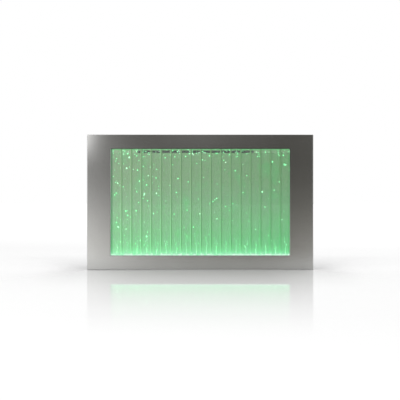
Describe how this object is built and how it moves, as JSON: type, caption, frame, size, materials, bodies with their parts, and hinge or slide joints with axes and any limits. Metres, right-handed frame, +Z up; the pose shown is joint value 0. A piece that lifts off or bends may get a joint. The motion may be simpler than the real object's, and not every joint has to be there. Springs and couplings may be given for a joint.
{
  "type": "bubble wall panel",
  "caption": "Wall-hung bubble panel: a brushed steel face round a wide window onto a thin channelled water cell lit green, with a refill lid on top and its controls underneath.",
  "frame": {"origin": "middle of the wall rail's back face, in the plane of the wall", "axes": "+X to the viewer's right along the panel, +Y into the wall and -Y out of the face, +Z up"},
  "size_m": [0.725, 0.1, 0.4335],
  "materials": {
    "brushed_stainless": "satin, brushed along its length",
    "zinc_steel": "dull zinc plate",
    "tray_paint": "fine matt powder coat",
    "clear_acrylic": "clear, polished",
    "opal_acrylic": "opal, satin, lit green",
    "aluminium": "as extruded",
    "black_rubber": "matt",
    "black_plastic": "matt moulded",
    "grey_plastic": "matt moulded",
    "white_plastic": "matt moulded",
    "led_light": "white strip, lit green",
    "silicone": "translucent grey hose",
    "nickel_brass": "nickel plated"
  },
  "bodies": {
    "panel": {"air_manifold": "clear_acrylic", "air_pump": "black_plastic", "air_valve_body": "nickel_brass", "back_tray": "tray_paint", "cell_pad": "black_rubber", "cell_rail_left": "zinc_steel", "cell_rail_right": "zinc_steel", "check_valve": "white_plastic", "divider_01": "clear_acrylic", "divider_02": "clear_acrylic", "divider_03": "clear_acrylic", "divider_04": "clear_acrylic", "divider_05": "clear_acrylic", "divider_06": "clear_acrylic", "divider_07": "clear_acrylic", "divider_08": "clear_acrylic", "divider_09": "clear_acrylic", "divider_10": "clear_acrylic", "divider_11": "clear_acrylic", "divider_12": "clear_acrylic", "divider_13": "clear_acrylic", "divider_14": "clear_acrylic", "divider_15": "clear_acrylic", "divider_16": "clear_acrylic", "divider_17": "clear_acrylic", "drain_valve_body": "nickel_brass", "end_wall_left": "clear_acrylic", "end_wall_right": "clear_acrylic", "filler_trough": "grey_plastic", "frame_bracket_lower_left": "zinc_steel", "frame_bracket_lower_right": "zinc_steel", "frame_bracket_upper_left": "zinc_steel", "frame_bracket_upper_right": "zinc_steel", "front_frame": "brushed_stainless", "front_pane": "clear_acrylic", "hanger_rail": "zinc_steel", "led_channel": "aluminium", "led_lead": "white_plastic", "led_lens": "opal_acrylic", "led_strip": "led_light", "lid_hinge_pin": "zinc_steel", "lower_air_hose": "silicone", "manifold_hose": "silicone", "power_driver": "white_plastic", "power_gland": "black_plastic", "pump_strap": "zinc_steel", "rear_diffuser": "opal_acrylic", "rear_pane": "clear_acrylic", "switch_body": "black_plastic", "upper_air_hose": "silicone", "wall_bumper_left": "black_rubber", "wall_bumper_right": "black_rubber", "wall_rail": "zinc_steel", "window_gasket": "black_rubber", "wiring_loom": "black_rubber"},
    "lid": {"refill_lid": "brushed_stainless"},
    "knob": {"air_knob": "black_plastic"},
    "lever": {"drain_lever": "black_plastic"},
    "rocker": {"power_rocker": "black_plastic"}
  },
  "joints": [
    {"name": "lid_hinge", "type": "hinge", "parent": "panel", "child": "lid", "pos_m": [0, -0.0595, 0.0625], "axis": [-1, 0, 0], "range_deg": [0, 95]},
    {"name": "knob_turn", "type": "hinge", "parent": "panel", "child": "knob", "pos_m": [-0.3225, -0.025, -0.3578], "axis": [0, 0, 1], "range_deg": [0, 270]},
    {"name": "lever_turn", "type": "hinge", "parent": "panel", "child": "lever", "pos_m": [-0.2345, -0.025, -0.3578], "axis": [0, 0, 1], "range_deg": [0, 90]},
    {"name": "rocker_tilt", "type": "hinge", "parent": "panel", "child": "rocker", "pos_m": [0.3255, -0.025, -0.3555], "axis": [0, 1, 0], "range_deg": [0, 14]}
  ]
}
